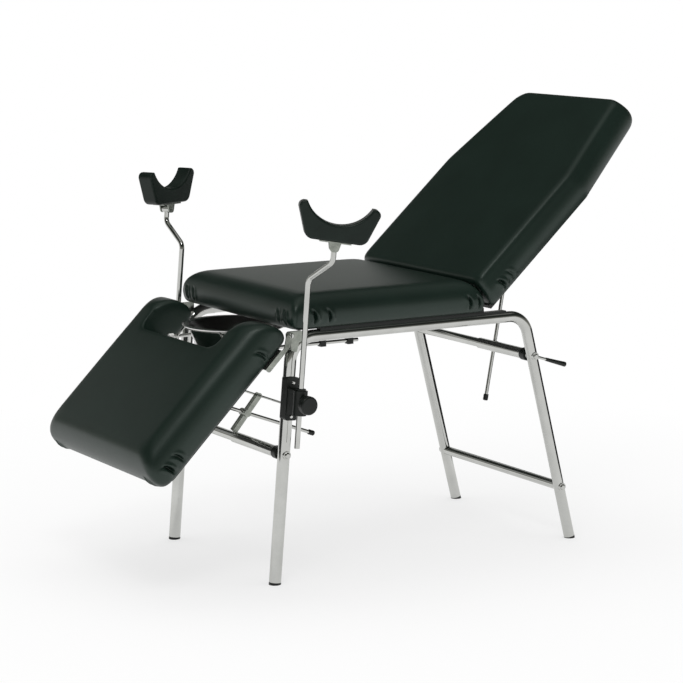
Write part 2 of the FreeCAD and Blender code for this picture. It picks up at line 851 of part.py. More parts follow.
pad(leg_board, leg_board_plan, board_thickness, midplane=False)
place(leg_board, leg_spot, leg_turn)
node("leg_board", leg_board)

# Leg hinge: bracket outside each front leg bend, pin, and a leaf under the leg section
bracket_thickness = size("hinge_bracket_thickness", 3)
hinge_pin = size("hinge_pin_radius", 4)
ear_gap = size("hinge_ear_gap", 0.4)
flange_width = size("leaf_flange_width", 40)
flange_length = size("leaf_flange_length", 65)
leaf_reach = size("leaf_reach", 110)
leaf_thickness_leg = size("leg_leaf_thickness", 3)
bracket_out = result("bracket_out", half_width + front_tube)
brackets = []
hinge_pins = []
leaves = []
for side, sign in SIDES:
    bracket_middle = (bracket_out + (bracket_thickness - 6) / 2) * sign
    bracket = plate(
        "bracket_blank_" + side,
        [(-10, leg_hinge_drop), (35, leg_hinge_drop), (35, -15), (24, -20), (17, -45), (2, -38),
         (0, -21), (-10, -9)],
        [8, 3, 4, 6, 4, 4, 6, 8], bracket_thickness + 6,
        (leg_hinge_reach - shift, bracket_middle, leg_hinge_height),
        holes=((0, 0, hinge_pin),),
    )
    brackets.append(cut("bracket_seated_" + side, bracket, leg_cores[side]))
    ear_in = result("ear_in_" + side, bracket_out + bracket_thickness + ear_gap)
    hinge_pins.append(lathe(
        "leg_pin_" + side,
        [(0, bracket_out - 3), (hinge_pin, bracket_out - 3),
         (hinge_pin, ear_in + bracket_thickness + ear_gap),
         (hinge_pin + 2.5, ear_in + bracket_thickness + ear_gap),
         (hinge_pin + 2.5, ear_in + bracket_thickness + 3), (0, ear_in + bracket_thickness + 3)],
        [0, 0, 0, 0, 1.5, 0], (leg_hinge_reach - shift, 0, leg_hinge_height),
        (("x", -90 * sign),),
    ))
    ear = plate(
        "leaf_ear_" + side,
        [(9, 9), (-12, 9), (-36, -leg_drop - leaf_thickness_leg),
         (-leaf_reach, -leg_drop - leaf_thickness_leg), (-leaf_reach, -18), (-30, -18), (9, -9)],
        [8, 4, 10, 2, 6, 10, 8], bracket_thickness,
        (0, (ear_in + bracket_thickness / 2) * sign, 0),
        holes=((0, 0, hinge_pin + running),),
    )
    ear_out = result("ear_out_" + side, ear_in + bracket_thickness)
    flange_start = ear_out - flange_width if sign > 0 else -ear_out
    flange = block(
        "leaf_flange_" + side, (flange_length, flange_width, leaf_thickness_leg),
        (-leaf_reach, flange_start, -leg_drop - leaf_thickness_leg),
    )
    leaves.append(fuse("leaf_whole_" + side, [ear, flange]))
node("leg_hinge_brackets", group("bracket_set", brackets))
node("leg_hinge_pins", group("leg_pin_set", hinge_pins))
node("leg_hinge_leaves", group("leaf_set", leaves, leg_spot, leg_turn))

# Stay rods: each slides past its cross tube at a fixed distance
back_pivot_x = result(
    "back_pivot_x",
    back_hinge_x + back_stay_pivot * cosine(back_angle) + back_stay_drop * sine(back_angle),
)
back_pivot_z = result(
    "back_pivot_z",
    back_hinge_z + back_stay_pivot * sine(back_angle) - back_stay_drop * cosine(back_angle),
)
leg_pivot_x = result(
    "leg_pivot_x",
    leg_spot[0] - leg_stay_pivot * cosine(leg_angle) + leg_stay_drop * sine(leg_angle),
)
leg_pivot_z = result(
    "leg_pivot_z",
    leg_hinge_height - leg_stay_pivot * sine(leg_angle) - leg_stay_drop * cosine(leg_angle),
)


def stay_angle(pivot_x, pivot_z, tube_x, tube_z, offset):
    run = tube_x - pivot_x
    rise = tube_z - pivot_z
    distance = root(run * run + rise * rise)
    return slope_angle(rise, run) + sine_angle(offset / distance)


back_stay_angle = result("back_stay_angle", stay_angle(
    back_pivot_x, back_pivot_z, upper_x, upper_cross_height, back_stay_offset
))
leg_stay_angle = result("leg_stay_angle", stay_angle(
    leg_pivot_x, leg_pivot_z, front_x, front_cross_height, leg_stay_offset
))
arm_angle = result("arm_angle", leg_stay_angle + arm_lead)


def stay(name, pivot, angle, length, side):
    """Rod with an eye at its pivot, and the cap on its free end."""
    start = (pivot[0], -side, pivot[1])
    turn = (("y", 90 - angle),)
    bar = cylinder(name + "_bar", rod_radius, length, start, turn)
    eye = cylinder(
        name + "_eye", eye_radius, eye_width, (pivot[0], eye_width / 2 - side, pivot[1]),
        ALONG_NEAR,
    )
    hole = cylinder(
        name + "_eye_bore", pin_radius + running, eye_width + 2,
        (pivot[0], eye_width / 2 + 1 - side, pivot[1]), ALONG_NEAR,
    )
    node(name + "_rod", cut(name + "_rod_cut", fuse(name + "_whole", [bar, eye]), hole))
    node(name + "_cap", lathe(
        name + "_cap_body",
        [(0, length), (rod_radius, length), (rod_radius, length - cap_grip),
         (cap_radius, length - cap_grip), (cap_radius, length + cap_length - cap_grip),
         (0, length + cap_length - cap_grip)],
        [0, 0, 0, 1, 3, 0], start, turn,
    ))


stay("back_stay", (back_pivot_x, back_pivot_z), back_stay_angle, back_stay_length, back_stay_side)
stay("leg_stay", (leg_pivot_x, leg_pivot_z), leg_stay_angle, leg_stay_length, leg_stay_side)


def stay_bracket(name, pivot, drop, underside, side, base_half, spot, turn):
    """Base plate with two ears around the rod's eye, and the pin through them."""
    plates = []
    ear_middle = result(name + "_ear_middle", eye_width / 2 + side_gap + ear_thickness / 2)
    for tag, sign in (("first", -1), ("second", 1)):
        plates.append(plate(
            name + "_ear_" + tag,
            [(pivot - base_half + 2, underside), (pivot - 9, -drop - 9), (pivot + 9, -drop - 9),
             (pivot + base_half - 2, underside)],
            [0, 8, 8, 0], ear_thickness, (0, ear_middle * sign - side, 0),
            holes=((pivot, -drop, pin_radius),),
        ))
    base = block(
        name + "_base", (base_half * 2, 44, 3), (pivot - base_half, -22 - side, underside - 3)
    )
    node(name, fuse(name + "_whole", plates + [base], spot, turn))
    pin_half = result(name + "_pin_half", ear_middle + ear_thickness / 2)
    return lathe(
        name + "_pin_turned",
        [(0, -pin_half - 3), (pin_radius + 2, -pin_half - 3), (pin_radius + 2, -pin_half),
         (pin_radius, -pin_half), (pin_radius, pin_half), (pin_radius + 2, pin_half),
         (pin_radius + 2, pin_half + 3), (0, pin_half + 3)],
        [0, 1, 0, 0, 0, 0, 1, 0], (pivot, -side, -drop), ALONG_NEAR,
    )


back_pin = stay_bracket(
    "back_stay_bracket", back_stay_pivot, back_stay_drop, -back_drop, back_stay_side, 34,
    back_spot, back_turn,
)
node("back_stay_pin", group("back_stay_pin_set", [back_pin], back_spot, back_turn))
leg_pin = stay_bracket(
    "leg_stay_bracket", -leg_stay_pivot, leg_stay_drop, -leg_drop, leg_stay_side, 24,
    leg_spot, leg_turn,
)
node("leg_stay_pin", group("leg_stay_pin_set", [leg_pin], leg_spot, leg_turn))

# Back stay sleeve with its lug on the rear upper cross tube
sleeve_bore = result("sleeve_bore", cross_tube + running)
back_guide_x = result("back_guide_x", upper_x - back_stay_offset * sine(back_stay_angle))
back_guide_z = result(
    "back_guide_z", upper_cross_height + back_stay_offset * cosine(back_stay_angle)
)
guide_half = size("guide_half_length", 13)
rear_sleeve = cylinder(
    "rear_sleeve_blank", sleeve_radius, sleeve_near_end - rear_sleeve_far_end,
    (upper_x, -rear_sleeve_far_end, upper_cross_height), ALONG_NEAR,
)
back_lug = cylinder(
    "back_lug", guide_radius, guide_half * 2,
    (back_guide_x - guide_half * cosine(back_stay_angle), -back_stay_side,
     back_guide_z - guide_half * sine(back_stay_angle)),
    (("y", 90 - back_stay_angle),),
)
rear_bore = cylinder(
    "rear_sleeve_bore", sleeve_bore, half_width, (upper_x, 0, upper_cross_height), ALONG_NEAR
)
back_rod_bore = cylinder(
    "back_rod_bore", rod_radius + rod_clearance, guide_half * 4,
    (back_guide_x - guide_half * 2 * cosine(back_stay_angle), -back_stay_side,
     back_guide_z - guide_half * 2 * sine(back_stay_angle)),
    (("y", 90 - back_stay_angle),),
)
node("back_clamp_sleeve", cut(
    "rear_sleeve_cut", fuse("rear_sleeve_whole", [rear_sleeve, back_lug]),
    fuse("rear_sleeve_bores", [rear_bore, back_rod_bore]),
))

# Back release lever on the same tube
lever_side = result("lever_side", (sleeve_near_end + side_gap + hub_near_end) / 2)
hub_outer = ring(
    "hub_blank", sleeve_bore, hub_radius, sleeve_near_end + side_gap, hub_near_end,
    (upper_x, 0, upper_cross_height), ALONG_NEAR, 1.5,
)
lever_turn = (("y", 90 + lever_drop_angle),)
lever_spot = (upper_x, -lever_side, upper_cross_height)
lever_bar = cylinder(
    "lever_bar", lever_radius, lever_reach + grip_overlap, lever_spot, lever_turn
)
hub_clear = cylinder(
    "hub_clear", hub_radius, half_width, (upper_x, 0, upper_cross_height), ALONG_NEAR
)
node("lever_hub", hub_outer)
node("lever_rod", cut("lever_rod_cut", lever_bar, hub_clear))
node("lever_grip", lathe(
    "lever_grip_body",
    [(0, lever_reach + grip_overlap), (lever_radius, lever_reach + grip_overlap),
     (lever_radius, lever_reach),
     (grip_small, lever_reach), (grip_large, grip_end), (0, grip_end)],
    [0, 0, 0, 0.3, 3, 0], lever_spot, lever_turn,
))

# Leg stay sleeve, its two arms and the barrel that guides the rod
leg_guide_x = result("leg_guide_x", front_x - leg_stay_offset * sine(leg_stay_angle))
leg_guide_z = result(
    "leg_guide_z", front_cross_height + leg_stay_offset * cosine(leg_stay_angle)
)
node("leg_clamp_sleeve", ring(
    "front_sleeve", sleeve_bore, sleeve_radius, front_sleeve_far_end, sleeve_near_end,
    (front_x, 0, front_cross_height), ALONG_NEAR, 1,
))
arm_middle = result("arm_middle", rod_radius + side_gap + arm_thickness / 2)
release_bar = size("release_bar_radius", 3)
arms = []
for tag, sign in (("first", -1), ("second", 1)):
    arms.append(plate(
        "arm_" + tag,
        [(8, arm_offset - arm_width / 2), (arm_reach + arm_width / 2, arm_offset - arm_width / 2),
         (arm_reach + arm_width / 2, arm_offset + arm_width / 2), (8, arm_offset + arm_width / 2)],
        [0, 6.5, 6.5, 0], arm_thickness,
        (front_x, arm_middle * sign - leg_stay_side, front_cross_height), (("y", -arm_angle),),
        holes=((arm_reach, arm_offset, release_bar + running),),
    ))
barrel_half = size("barrel_half_length", 17)
barrel = cylinder(
    "barrel", guide_radius, barrel_half * 2,
    (leg_guide_x, barrel_half - leg_stay_side, leg_guide_z), ALONG_NEAR,
)
sleeve_clear = cylinder(
    "sleeve_clear", sleeve_radius, half_width, (front_x, 0, front_cross_height), ALONG_NEAR
)
leg_rod_bore = cylinder(
    "leg_rod_bore", rod_radius + rod_clearance, guide_half * 4,
    (leg_guide_x - guide_half * 2 * cosine(leg_stay_angle), -leg_stay_side,
     leg_guide_z - guide_half * 2 * sine(leg_stay_angle)),
    (("y", 90 - leg_stay_angle),),
)
node("leg_clamp_arms", cut(
    "leg_clamp_cut", fuse("leg_clamp_whole", arms + [barrel]),
    fuse("leg_clamp_tools", [sleeve_clear, leg_rod_bore]),
))

# Release bar through the arm tops, cranked to a small grip
bar_x = result(
    "bar_x", front_x + arm_reach * cosine(arm_angle) - arm_offset * sine(arm_angle)
)
bar_z = result(
    "bar_z", front_cross_height + arm_reach * sine(arm_angle) + arm_offset * cosine(arm_angle)
)
bar_far = size("release_bar_far_end", 60)
bar_near = size("release_bar_near_end", 215)
bar_crank = size("release_bar_crank", 48)
node("leg_release_bar", pipe(
    "release_bar_body", [(0, 0), (0, bar_far + bar_near), (bar_crank, bar_far + bar_near)],
    [0, 10, 0], release_bar, None, (bar_x, bar_far, bar_z), ALONG_NEAR,
))
node("leg_release_grip", lathe(
    "release_grip_body",
    [(0, bar_crank), (release_bar, bar_crank), (release_bar, bar_crank - 18),
     (release_bar + 2.5, bar_crank - 18), (release_bar + 2.5, bar_crank + 4), (0, bar_crank + 4)],
    [0, 0, 0, 1, 2, 0], (bar_x, -bar_near, bar_z), (("y", 90),),
))
bush_far_end = size("tube_bush_far_end", 240.6)
node("front_tube_bush", ring(
    "front_bush", cross_tube, hub_radius, bush_far_end, hub_near_end,
    (front_x, 0, front_cross_height), ALONG_NEAR, 1.5,
))

# Stirrups: clamp block below the bend of each front leg, turning bush, sliding post, knob and
# crutch; heights run along the leaning leg
bend_start = result(
    "bend_start", rail_height / cosine(lean) - front_bend * tangent((90 - lean) / 2)
)
block_high = result("block_high", bend_start - block_gap)
block_low = result("block_low", block_high - block_length)
boss_low = result("boss_low", block_low + boss_inset)
boss_high = result("boss_high", boss_low + boss_length)
knob_height = result("knob_height", boss_low + boss_length / 2)
post_foot = result("post_foot", block_low - post_below)
lean_turn = ("y", lean)
lean_spot = (-shift, 0, 0)
block_screws = []
for side, sign in SIDES:
    out = result("post_out_" + side, (half_width + post_out) * sign)
    swing = near_swing if sign < 0 else far_swing
    rest_drop = post_drop * sign
    screw_spots = ((block_low + 10, "low"), (block_high - 14, "high"))
    block_out = size("block_out_" + side, 24)
    face = result("block_face_" + side, half_width + block_out)
    inner_face = result("block_inner_" + side, half_width - 5)
    half_depth = result("block_half_depth_" + side, (face - inner_face) / 2)
    saddle = plate(
        "saddle_" + side,
        [(-block_width / 2, block_low), (block_width / 2, block_low),
         (block_width / 2, block_high), (-block_width / 2, block_high)],
        [6, 6, 6, 6], half_depth * 2, (0, (inner_face + half_depth) * sign, 0),
    )
    web_middle = result("web_middle_" + side, (half_width + 20 + half_width + post_out) / 2)
    web = plate(
        "web_" + side,
        [(-boss_radius + 2, boss_low), (boss_radius - 2, boss_low),
         (boss_radius - 2, boss_high), (2 - boss_radius, boss_high)],
        [0, 0, 0, 0], post_out - 20, (0, web_middle * sign, 0),
    )
    boss = cylinder(
        "boss_" + side, boss_radius, boss_high - boss_low, (0, out, boss_low)
    )
    nose_end = result("nose_end_" + side, half_width + post_out + 24)
    nose = cylinder(
        "nose_" + side, 12, 24, (0, nose_end * sign, knob_height), (("x", 90 * sign),)
    )
    bush_bore = cylinder(
        "bush_bore_" + side, bush_radius + running, boss_high - boss_low + 4,
        (0, out, boss_low - 2),
    )
    spindle_bore = cylinder(
        "spindle_bore_" + side, spindle_radius + running, 26,
        (0, (nose_end + 1) * sign, knob_height), (("x", 90 * sign),),
    )
    leg_clear = cylinder(
        "leg_clear_" + side, front_tube, block_high - block_low + 20,
        (0, half_width * sign, block_low - 10),
    )
    screw_bores = [
        cylinder(
            "block_screw_bore_" + tag + "_" + side, 2.5, 8, (0, (face + 1) * sign, height),
            (("x", 90 * sign),),
        )
        for height, tag in screw_spots
    ]
    node("stirrup_clamp_block_" + side, cut(
        "clamp_block_cut_" + side, fuse("clamp_block_whole_" + side, [saddle, web, boss, nose]),
        fuse("clamp_block_tools_" + side, [bush_bore, spindle_bore, leg_clear] + screw_bores),
        lean_spot, (lean_turn,),
    ))
    for height, tag in screw_spots:
        block_screws.append(lathe(
            "block_screw_" + tag + "_" + side,
            [(0, face - 6), (2.5, face - 6), (2.5, face), (5, face), (4, face + 3), (0, face + 3)],
            [0, 0, 0, 0, 2, 0], (0, 0, height), (("x", -90 * sign),),
        ))
    node("stirrup_bush_" + side, group("bush_set_" + side, [lathe(
        "bush_" + side,
        [(post_radius + post_clearance, boss_low), (bush_radius, boss_low),
         (bush_radius, boss_high + 0.1), (flange_radius, boss_high + 0.1),
         (flange_radius, boss_high + flange_height),
         (post_radius + post_clearance, boss_high + flange_height)],
        [0, 0, 0, 0, 1, 0], (0, out, 0),
    )], lean_spot, (lean_turn,)))
    knob_start = result("knob_start_" + side, nose_end + 1)
    tip = result("spindle_tip_" + side, half_width + post_out + bush_radius + 0.3)
    node("stirrup_knob_" + side, group("knob_set_" + side, [lathe(
        "knob_" + side,
        [(0, tip), (spindle_radius, tip), (spindle_radius, knob_start), (14, knob_start),
         (14, knob_start + 4), (knob_radius, knob_start + 4),
         (knob_radius, knob_start + knob_depth), (0, knob_start + knob_depth)],
        [0, 0, 0, 1, 0, 4, 5, 0], (0, 0, knob_height), (("x", -90 * sign),),
    )], lean_spot, (lean_turn,)))

    # The post is drawn in its own upright frame, swung outward, then leaned with the leg
    foot = result("post_foot_" + side, post_foot + rest_drop)
    head = result("post_head_" + side, post_straight + post_rise + post_top)
    post_turns = (lean_turn, ("z", swing), ("z", 90 * sign))
    foot_spot = (
        foot * sine(lean) - shift, out, foot * cosine(lean),
    )
    post = pipe(
        "post_" + side,
        [(0, 0), (0, post_straight), (post_offset, post_straight + post_rise),
         (post_offset, head)],
        [0, post_bend, post_bend, 0], post_radius, None, foot_spot, post_turns,
    )
    swing_x = result("swing_x_" + side, post_offset * sine(swing) * -1 * sign)
    swing_y = result("swing_y_" + side, post_offset * cosine(swing) * sign)
    top_z = result("top_z_" + side, foot + head)
    knee_spot = (
        result("knee_x_" + side, swing_x * cosine(lean) + top_z * sine(lean) - shift),
        result("knee_y_" + side, out + swing_y),
        result("knee_z_" + side, top_z * cosine(lean) - swing_x * sine(lean)),
    )
    turn_z = ("z", crutch_turn * sign)
    tilt = near_tilt if sign < 0 else plain(0)
    knee_turns = (turn_z, ("y", tilt))
    barrel_turns = (turn_z, ("x", 90))
    knee_half = size("knee_barrel_half_" + side, 12)
    knee_barrel = ring(
        "knee_barrel_" + side, 0, 10, -knee_half, knee_half, knee_spot, barrel_turns, 1
    )
    knee_bore = group(
        "knee_bore_" + side,
        [cylinder("knee_bore_blank_" + side, 4 + running, 60, (0, 0, -30))],
        knee_spot, barrel_turns,
    )
    node("stirrup_post_" + side, cut(
        "post_cut_" + side, fuse("post_whole_" + side, [post, knee_barrel]), knee_bore
    ))
    ears = [
        plate(
            "crutch_ear_" + tag + "_" + side,
            [(-10, -10), (10, -10), (16, crutch_lift), (-16, crutch_lift)], [9, 9, 0, 0], 3,
            (0, (knee_half + side_gap + 1.5) * ear_sign, 0),
            holes=((0, 0, 4),),
        )
        for tag, ear_sign in (("first", -1), ("second", 1))
    ]
    base = block("crutch_base_" + side, (80, 38, 3), (-40, -19, crutch_lift - 3))
    knee_pin = cylinder("knee_pin_" + side, 4, 36, (0, 18, 0), ALONG_NEAR)
    node("crutch_bracket_" + side, fuse(
        "crutch_bracket_whole_" + side, ears + [base, knee_pin], knee_spot, knee_turns
    ))

    crutch = new_body("crutch_body_" + side)
    crutch_side = new_sketch(crutch, "crutch_side_" + side, "XZ_Plane")
    draw_outline(
        crutch_side,
        [(-crutch_bottom, crutch_lift), (crutch_bottom, crutch_lift),
         (crutch_top, crutch_lift + crutch_height), (-crutch_top, crutch_lift + crutch_height)],
        [24, 24, 14, 14],
    )
    pad(crutch, crutch_side, crutch_depth)
    trough_half = crutch_top - tip_width
    trough_radius = result(
        "trough_radius_" + side,
        (trough_half * trough_half + trough_depth * trough_depth) / (trough_depth * 2),
    )
    trough = new_sketch(crutch, "trough_" + side, "XZ_Plane")
    draw_circle(
        trough, (0, crutch_lift + crutch_height - trough_depth + trough_radius), trough_radius
    )
    pocket(crutch, trough, crutch_depth * 2, midplane=True)
    reach = crutch_depth.value / 2 - 0.01
    round_edges(
        crutch, "crutch_rounding_" + side, 6,
        lambda edge: min(abs(vertex.Point.y) for vertex in edge.Vertexes) > reach
        and edge.BoundBox.YLength < 1,
    )
    place(crutch, knee_spot, knee_turns)
    node("crutch_" + side, crutch)
node("stirrup_block_screws", group("block_screw_set", block_screws, lean_spot, (lean_turn,)))

# Bowl, lifted out of a wire holder that slides on two rods
bowl_x = result("bowl_x", bowl_reach - shift)
bowl_low = result("bowl_low", bowl_rim_height - bowl_depth)
rim_low = result("rim_low", bowl_rim_height - rim_thickness)
node("bowl", lathe(
    "bowl_body_turned",
    [(0, bowl_low), (bowl_base, bowl_low), (bowl_body, rim_low), (bowl_rim, rim_low),
     (bowl_rim, bowl_rim_height), (bowl_body - bowl_wall, bowl_rim_height),
     (bowl_base - bowl_wall, bowl_low + bowl_wall), (0, bowl_low + bowl_wall)],
    [0, 34, 0, 0, 1, 2, 33, 0], (bowl_x, 0, 0),
))
ring_height = result("ring_height", rim_low - ring_wire)
hoop = doc.addObject("Part::Torus", "holder_hoop")
bind(hoop, "Radius1", ring_radius)
bind(hoop, "Radius2", ring_wire)
place(hoop, (bowl_x, 0, ring_height))
holder_pieces = [hoop]
caps = []
wire_front = size("holder_wire_front_reach", -52)
for side, sign in SIDES:
    y = slide_out * sign
    holder_pieces.append(cylinder(
        "slide_rod_" + side, slide_rod, slide_rear - slide_front,
        (slide_front - shift, y, slide_height), (("y", 90),),
    ))
    drop = result("wire_drop_" + side, ring_height - slide_height)
    hoop_front_out = result("hoop_front_out_" + side, root(
        ring_radius * ring_radius - (bowl_reach - wire_front) * (bowl_reach - wire_front)
    ))
    for tag, wire_x, hoop_out in (
        ("front", wire_front - shift, hoop_front_out), ("middle", bowl_x, ring_radius),
    ):
        run = slide_out - hoop_out
        wire_length = root(run * run + drop * drop)
        wire_angle = slope_angle(drop, run)
        holder_pieces.append(cylinder(
            "holder_wire_" + tag + "_" + side, ring_wire, wire_length,
            (wire_x, y, slide_height), (("x", (90 - wire_angle) * sign),),
        ))
    caps.append(lathe(
        "slide_cap_" + side,
        [(0, 0), (slide_cap, 0), (slide_cap, slide_cap_length), (slide_rod, slide_cap_length),
         (slide_rod, slide_cap_length / 2), (0, slide_cap_length / 2)],
        [0, 2, 1, 0, 0, 0],
        (slide_front - slide_cap_length / 2 - shift, y, slide_height), (("y", 90),),
    ))
node("bowl_holder", fuse("bowl_holder_whole", holder_pieces))
node("slide_rod_caps", group("cap_set", caps))

# Guides under the seat board that carry the slide rods
guides = []
guide_wide = size("guide_width", 18)
guide_radial = size("slide_clearance", 0.1)
for side, sign in SIDES:
    y = slide_out * sign
    pieces = [
        block(
            "guide_post_" + str(number) + "_" + side,
            (guide_length, guide_wide, slide_drop + guide_below),
            (reach - shift, y - guide_wide / 2, slide_height - guide_below),
        )
        for number, reach in enumerate((guide_first, guide_second))
    ]
    pieces.append(block(
        "guide_strip_" + side,
        (guide_second - guide_first + guide_length * 3, guide_wide, guide_strip),
        (guide_first - guide_length - shift, y - guide_wide / 2, seat_base - guide_strip),
    ))
    bore = cylinder(
        "guide_bore_" + side, slide_rod + guide_radial, slide_rear - slide_front,
        (slide_front - shift, y, slide_height), (("y", 90),),
    )
    guides.append(cut("guide_cut_" + side, fuse("guide_whole_" + side, pieces), bore))
node("bowl_guides", group("guide_set", guides))

doc.recompute()
for obj in doc.Objects:
    if "Invalid" in obj.State or "Error" in obj.State:
        raise RuntimeError("not solved: " + obj.Name + " " + str(obj.State))
for name, obj in nodes.items():
    if obj.Shape.isNull() or not obj.Shape.isValid() or not obj.Shape.Solids:
        raise RuntimeError("bad shape: " + name)
for name, obj in nodes.items():
    obj.Shape.exportStep("parts/" + name + ".step")
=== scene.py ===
import json
import math
from collections import namedtuple

import bmesh
import bpy
import numpy as np
from mathutils import Matrix, Vector


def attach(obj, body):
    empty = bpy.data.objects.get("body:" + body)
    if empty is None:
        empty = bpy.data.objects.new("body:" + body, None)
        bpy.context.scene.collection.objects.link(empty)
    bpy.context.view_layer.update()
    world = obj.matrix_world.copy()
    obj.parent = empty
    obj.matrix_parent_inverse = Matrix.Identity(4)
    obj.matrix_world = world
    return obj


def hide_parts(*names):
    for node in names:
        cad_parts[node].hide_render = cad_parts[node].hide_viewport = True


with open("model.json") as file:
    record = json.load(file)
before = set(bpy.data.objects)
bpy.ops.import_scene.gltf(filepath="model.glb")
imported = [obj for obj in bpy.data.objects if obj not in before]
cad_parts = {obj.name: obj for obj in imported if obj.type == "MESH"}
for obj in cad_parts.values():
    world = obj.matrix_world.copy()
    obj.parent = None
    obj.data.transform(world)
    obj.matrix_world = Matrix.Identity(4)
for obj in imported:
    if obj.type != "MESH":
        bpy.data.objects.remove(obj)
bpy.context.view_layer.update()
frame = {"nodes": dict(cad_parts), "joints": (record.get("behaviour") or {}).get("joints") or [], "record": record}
nodes = frame["nodes"]
joints = {joint["name"]: joint for joint in frame["joints"]}

# Camera at the photograph's viewing angle, in metres, degrees and millimetres of lens
CAMERA_PLACE = (-3.276, -5.308, 1.588)
CAMERA_YAW = 31.44
CAMERA_PITCH = 9.37
CAMERA_LENS = 122.3
SENSOR_WIDTH = 36.0
VIEW_DISTANCE = 400.0


def add_camera():
    data = bpy.data.cameras.new("camera")
    data.lens = CAMERA_LENS
    data.sensor_width = SENSOR_WIDTH
    data.clip_end = VIEW_DISTANCE
    camera = bpy.data.objects.new("camera", data)
    camera.location = CAMERA_PLACE
    tip = math.pi / 2 - math.radians(CAMERA_PITCH)
    camera.rotation_euler = (tip, 0.0, -math.radians(CAMERA_YAW))
    bpy.context.collection.objects.link(camera)
    bpy.context.scene.camera = camera


add_camera()


# Material helpers

def new_material(name):
    material = bpy.data.materials.new(name)
    material.use_nodes = True
    tree = material.node_tree
    return material, tree, tree.nodes["Principled BSDF"]


def object_noise(tree, scale, detail, roughness=0.5, stretch=(1.0, 1.0, 1.0)):
    coordinates = tree.nodes.new("ShaderNodeTexCoord")
    mapping = tree.nodes.new("ShaderNodeMapping")
    mapping.inputs["Scale"].default_value = stretch
    noise = tree.nodes.new("ShaderNodeTexNoise")
    noise.inputs["Scale"].default_value = scale
    noise.inputs["Detail"].default_value = detail
    noise.inputs["Roughness"].default_value = roughness
    tree.links.new(coordinates.outputs["Object"], mapping.inputs["Vector"])
    tree.links.new(mapping.outputs["Vector"], noise.inputs["Vector"])
    return noise


def ramp(tree, source, stops):
    """Colour ramp; a stop is (place from 0 to 1, colour)."""
    node = tree.nodes.new("ShaderNodeValToRGB")
    elements = node.color_ramp.elements
    while len(elements) < len(stops):
        elements.new(0.5)
    for element, (place, color) in zip(elements, stops):
        element.position = place
        element.color = (*color, 1.0)
    tree.links.new(source, node.inputs["Fac"])
    return node.outputs["Color"]


def tint(tree, shader, noise, *stops):
    tree.links.new(ramp(tree, noise.outputs["Fac"], stops), shader.inputs["Base Color"])


def roughen(tree, shader, noise, smooth, rough):
    node = tree.nodes.new("ShaderNodeMapRange")
    node.inputs["To Min"].default_value = smooth
    node.inputs["To Max"].default_value = rough
    tree.links.new(noise.outputs["Fac"], node.inputs["Value"])
    tree.links.new(node.outputs["Result"], shader.inputs["Roughness"])


def relief(tree, height, strength, distance, under=None):
    """Bump from a height, laid over the bump under it; the distance is in metres."""
    node = tree.nodes.new("ShaderNodeBump")
    node.inputs["Strength"].default_value = strength
    node.inputs["Distance"].default_value = distance
    tree.links.new(height, node.inputs["Height"])
    if under is not None:
        tree.links.new(under, node.inputs["Normal"])
    return node.outputs["Normal"]


def combine(tree, operation, first, second):
    node = tree.nodes.new("ShaderNodeMath")
    node.operation = operation
    tree.links.new(first, node.inputs[0])
    tree.links.new(second, node.inputs[1])
    return node.outputs["Value"]


def mix_shaders(tree, share, base, top):
    node = tree.nodes.new("ShaderNodeMixShader")
    tree.links.new(share, node.inputs["Fac"])
    tree.links.new(base, node.inputs[1])
    tree.links.new(top, node.inputs[2])
    return node.outputs["Shader"]


# Materials

def vinyl():
    """Dark green-black upholstery vinyl: fine pebble grain, faint broad unevenness."""
    dark, light = (0.0056, 0.0150, 0.0105), (0.0070, 0.0180, 0.0128)
    material, tree, shader = new_material("vinyl")
    coordinates = tree.nodes.new("ShaderNodeTexCoord")
    grain = tree.nodes.new("ShaderNodeTexVoronoi")
    grain.inputs["Scale"].default_value = 900.0
    tree.links.new(coordinates.outputs["Object"], grain.inputs["Vector"])
    broad = object_noise(tree, scale=9.0, detail=3.0)
    fine = object_noise(tree, scale=260.0, detail=5.0)
    tint(tree, shader, broad, (0.3, dark), (0.7, light))
    roughen(tree, shader, fine, smooth=0.34, rough=0.44)
    shader.inputs["Specular IOR Level"].default_value = 0.5
    shader.inputs["Specular Tint"].default_value = (0.90, 1.0, 0.945, 1.0)
    waves = relief(tree, broad.outputs["Fac"], strength=0.10, distance=0.004)
    pebbles = relief(tree, grain.outputs["Distance"], strength=0.10, distance=0.0003, under=waves)
    tree.links.new(pebbles, shader.inputs["Normal"])
    return material


def chrome():
    """Bright plating with faint cloudy wear."""
    dark, light = (0.50, 0.505, 0.485), (0.57, 0.575, 0.555)
    material, tree, shader = new_material("chrome")
    wear = object_noise(tree, scale=14.0, detail=6.0, roughness=0.6)
    shader.inputs["Metallic"].default_value = 1.0
    tint(tree, shader, wear, (0.35, dark), (0.7, light))
    roughen(tree, shader, wear, smooth=0.05, rough=0.12)
    return material


def zinc():
    """Dull grey-green plated steel, slightly clouded."""
    dark, light = (0.26, 0.28, 0.25), (0.40, 0.42, 0.38)
    material, tree, shader = new_material("zinc")
    cloud = object_noise(tree, scale=60.0, detail=5.0, roughness=0.65)
    shader.inputs["Metallic"].default_value = 0.9
    tint(tree, shader, cloud, (0.35, dark), (0.65, light))
    roughen(tree, shader, cloud, smooth=0.25, rough=0.42)
    uneven = relief(tree, cloud.outputs["Fac"], strength=0.06, distance=0.0004)
    tree.links.new(uneven, shader.inputs["Normal"])
    return material


